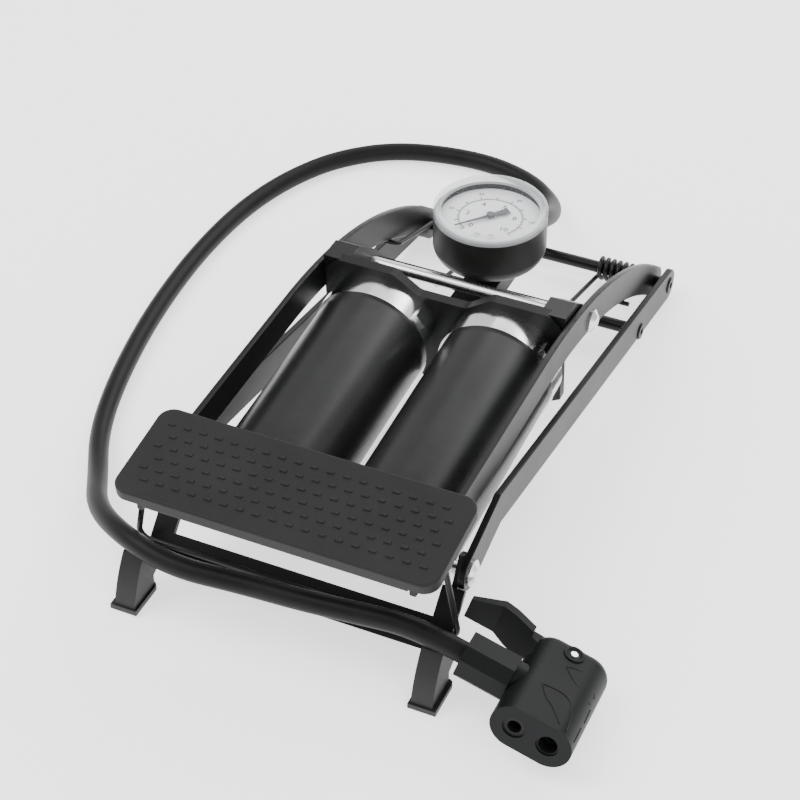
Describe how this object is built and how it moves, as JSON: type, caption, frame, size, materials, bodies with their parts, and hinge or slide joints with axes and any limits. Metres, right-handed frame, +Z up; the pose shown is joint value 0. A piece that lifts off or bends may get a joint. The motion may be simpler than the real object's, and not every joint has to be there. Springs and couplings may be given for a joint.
{
  "type": "foot air pump",
  "caption": "Folded foot-operated air pump with paired barrels, a sprung lever frame, pressure gauge, hose and clip-on valve head.",
  "frame": {"origin": "on the floor, under the middle of the folded pump without its hose", "axes": "+X across the pump to the right, +Y from the pedal to the rear hinge, +Z up"},
  "size_m": [0.3013, 0.391, 0.0809],
  "materials": {
    "frame_black": "satin black powder coat",
    "barrel_black": "smooth semi-gloss black paint",
    "chrome": "bright plated steel",
    "zinc": "zinc plated",
    "pedal_rubber": "moulded dark grey rubber with raised studs",
    "foot_plastic": "dark moulded plastic",
    "valve_plastic": "dark grey moulded plastic",
    "hose_rubber": "smooth black rubber",
    "gauge_black": "gloss black case",
    "lens": "clear polycarbonate",
    "dial": "white printed dial",
    "needle": "grey pointer",
    "brass": "machined brass",
    "alloy": "die cast",
    "spring_steel": "black oxide spring wire",
    "seal": "black rubber seal"
  },
  "bodies": {
    "base": {"left_base_rail": "frame_black", "right_base_rail": "frame_black", "rear_hinge_rod": "frame_black", "base_cross_rod": "frame_black", "front_pivot_pin": "zinc", "stand_crossbar": "frame_black", "left_stand_leg": "frame_black", "right_stand_leg": "frame_black", "left_foot": "foot_plastic", "right_foot": "foot_plastic", "left_spring_coil": "spring_steel", "right_spring_coil": "spring_steel", "hose": "hose_rubber", "hose_collar": "valve_plastic", "valve_head_body": "valve_plastic", "thumb_lever_pin": "zinc", "port_seals": "seal"},
    "lever": {"left_lever_arm": "frame_black", "right_lever_arm": "frame_black", "pedal_plate": "frame_black", "pedal_pad": "pedal_rubber", "cylinder_pivot_rod": "zinc", "left_spring_hook": "spring_steel", "right_spring_hook": "spring_steel"},
    "latch": {"locking_wire": "spring_steel"},
    "cylinders": {"left_barrel": "barrel_black", "right_barrel": "barrel_black", "left_crimp_ring": "chrome", "right_crimp_ring": "chrome", "left_mouth_cap": "foot_plastic", "right_mouth_cap": "foot_plastic", "left_barrel_head": "alloy", "right_barrel_head": "alloy", "left_check_valve": "seal", "right_check_valve": "seal", "head_bracket": "frame_black", "air_manifold": "alloy", "hose_fitting": "brass", "hose_ferrule": "chrome", "gauge_stem": "gauge_black", "gauge_cup": "gauge_black", "gauge_lens": "lens", "gauge_dial": "dial", "gauge_movement": "brass", "bourdon_tube": "brass", "dial_screws": "alloy"},
    "needle": {"gauge_needle": "needle"},
    "pistons": {"left_piston": "alloy", "right_piston": "alloy", "left_piston_seal": "seal", "right_piston_seal": "seal"},
    "rods": {"left_piston_rod": "zinc", "right_piston_rod": "zinc"},
    "thumb_lever": {"valve_thumb_lever": "valve_plastic"}
  },
  "joints": [
    {"name": "lever_hinge", "type": "hinge", "parent": "base", "child": "lever", "pos_m": [0, 0.1485, 0.008], "axis": [-1, 0, 0], "range_deg": [0, 34], "deforming": ["hose"]},
    {"name": "latch_swing", "type": "hinge", "parent": "lever", "child": "latch", "pos_m": [0, -0.131, 0.0566], "axis": [-1, 0, 0], "range_deg": [0, 3.5]},
    {"name": "cylinder_swing", "type": "hinge", "parent": "lever", "child": "cylinders", "pos_m": [0, 0.0475, 0.0543], "axis": [1, 0, 0], "range_deg": [0, 48.5]},
    {"name": "rod_swing", "type": "hinge", "parent": "base", "child": "rods", "pos_m": [0, -0.1065, 0.034], "axis": [1, 0, 0], "range_deg": [0, 14.2]},
    {"name": "piston_slide", "type": "slide", "parent": "cylinders", "child": "pistons", "axis": [0, -0.9976, -0.0698], "range_m": [0, 0.0515]},
    {"name": "needle_turn", "type": "hinge", "parent": "cylinders", "child": "needle", "pos_m": [0, 0.0775, 0.0753], "axis": [0, 0, -1], "range_deg": [0, 260]},
    {"name": "thumb_lever_hinge", "type": "hinge", "parent": "base", "child": "thumb_lever", "pos_m": [0.11764, -0.12383, 0.01329], "axis": [-0.2757, -0.153, -0.949], "range_deg": [0, 70]}
  ],
  "couplings": [
    {"joint": "cylinder_swing", "follows": "lever_hinge", "ratio": 1.4168},
    {"joint": "rod_swing", "follows": "lever_hinge", "ratio": 0.4096},
    {"joint": "piston_slide", "follows": "lever_hinge", "m_per_rad": 0.085464}
  ]
}
